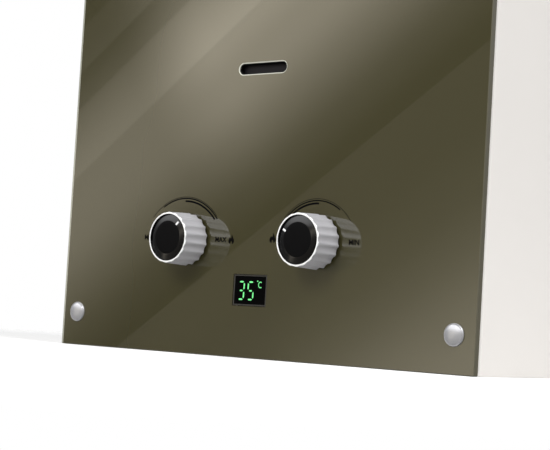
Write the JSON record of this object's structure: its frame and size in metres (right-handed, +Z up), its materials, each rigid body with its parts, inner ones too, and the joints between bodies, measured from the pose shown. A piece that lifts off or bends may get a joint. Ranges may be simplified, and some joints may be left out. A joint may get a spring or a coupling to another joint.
{
  "type": "instant gas water heater",
  "caption": "Portable outdoor gas water heater: glass-fronted steel box with two fluted control knobs, flame slot, display, flue guard, folding handle and pipe stubs.",
  "frame": {"origin": "on the rim that the casing stands on, under the middle of the overall box", "axes": "+Z up, -Y towards the user, so that the glass front faces -Y, +X to the right seen from the front"},
  "size_m": [0.35, 0.1774, 0.5685],
  "materials": {
    "casing_paint": "satin off-white powder coat",
    "galvanised": "galvanised sheet",
    "bronze_glass": "dark bronze back-coated tempered glass",
    "foam": "black foam",
    "chrome": "polished",
    "steel": "zinc plated",
    "stainless": "stainless sheet",
    "pane": "smoked heat-proof pane",
    "display": "black window",
    "board": "circuit board",
    "knob_black": "gloss black",
    "knob_white": "white inlay",
    "brass": "turned brass",
    "cast_aluminium": "die cast",
    "copper": "tinned copper",
    "ceramic": "white ceramic",
    "black_plastic": "moulded",
    "cell": "plain sleeve"
  },
  "bodies": {
    "casing": {"back_plate": "galvanised", "battery_box": "black_plastic", "battery_contacts": "steel", "battery_left": "cell", "battery_right": "cell", "bottom_plate": "casing_paint", "burner_blades": "stainless", "burner_frame": "stainless", "chamber_bracket_high": "galvanised", "chamber_bracket_low": "galvanised", "cold_inlet_fitting": "brass", "combustion_chamber": "copper", "diaphragm_cover": "brass", "display_board": "board", "display_lens": "display", "draft_hood": "galvanised", "electrode_bracket": "galvanised", "exchanger_fins": "copper", "exchanger_tubes": "copper", "flame_sensor": "ceramic", "flue_guard": "stainless", "front_cover": "casing_paint", "gas_inlet_fitting": "brass", "gas_manifold": "cast_aluminium", "gas_solenoid": "brass", "gas_valve_body": "cast_aluminium", "glass_foam_tape": "foam", "glass_panel": "bronze_glass", "glass_screws": "steel", "handle_lug_left": "casing_paint", "handle_lug_right": "casing_paint", "hot_outlet_fitting": "brass", "igniter_module": "black_plastic", "ignition_electrode": "ceramic", "inlet_pipe": "copper", "micro_switch": "black_plastic", "outlet_pipe": "copper", "overheat_switch": "black_plastic", "screw_cap_1": "chrome", "screw_cap_2": "chrome", "screw_cap_3": "chrome", "screw_cap_4": "chrome", "sight_pane": "pane", "water_sensor": "stainless", "water_valve_body": "brass"},
    "gas_control": {"gas_knob": "chrome", "gas_knob_face": "knob_black", "gas_knob_mark": "knob_white", "gas_spindle": "brass"},
    "water_control": {"water_knob": "chrome", "water_knob_face": "knob_black", "water_knob_mark": "knob_white", "water_spindle": "brass"},
    "handle": {"handle_bail": "steel", "handle_grip": "black_plastic"},
    "battery_lid": {"battery_hatch": "black_plastic"},
    "drain": {"drain_plug": "black_plastic"},
    "pin": {"push_pin": "brass"},
    "button": {"switch_button": "black_plastic"}
  },
  "joints": [
    {"name": "gas_knob_turn", "type": "hinge", "parent": "casing", "child": "gas_control", "pos_m": [-0.0554, -0.075, 0.0762], "axis": [0, -1, 0], "range_deg": [-49, 131]},
    {"name": "water_knob_turn", "type": "hinge", "parent": "casing", "child": "water_control", "pos_m": [0.0554, -0.075, 0.0762], "axis": [0, -1, 0], "range_deg": [-152, 28]},
    {"name": "handle_fold", "type": "hinge", "parent": "casing", "child": "handle", "pos_m": [0, 0.014, 0.5595], "axis": [1, 0, 0], "range_deg": [0, 95]},
    {"name": "battery_hatch_slide", "type": "slide", "parent": "casing", "child": "battery_lid", "axis": [0, 1, 0], "range_m": [0, 0.03]},
    {"name": "drain_plug_turn", "type": "hinge", "parent": "casing", "child": "drain", "pos_m": [0.0554, 0.012, 0.024], "axis": [0, 0, -1], "range_deg": [0, 360]},
    {"name": "push_pin_slide", "type": "slide", "parent": "casing", "child": "pin", "axis": [-1, 0, 0], "range_m": [0, 0.004], "stiffness_N_per_m": 300},
    {"name": "switch_button_slide", "type": "slide", "parent": "casing", "child": "button", "axis": [-1, 0, 0], "range_m": [0, 0.001]}
  ],
  "couplings": [
    {"joint": "switch_button_slide", "follows": "push_pin_slide", "ratio": 0.25}
  ]
}
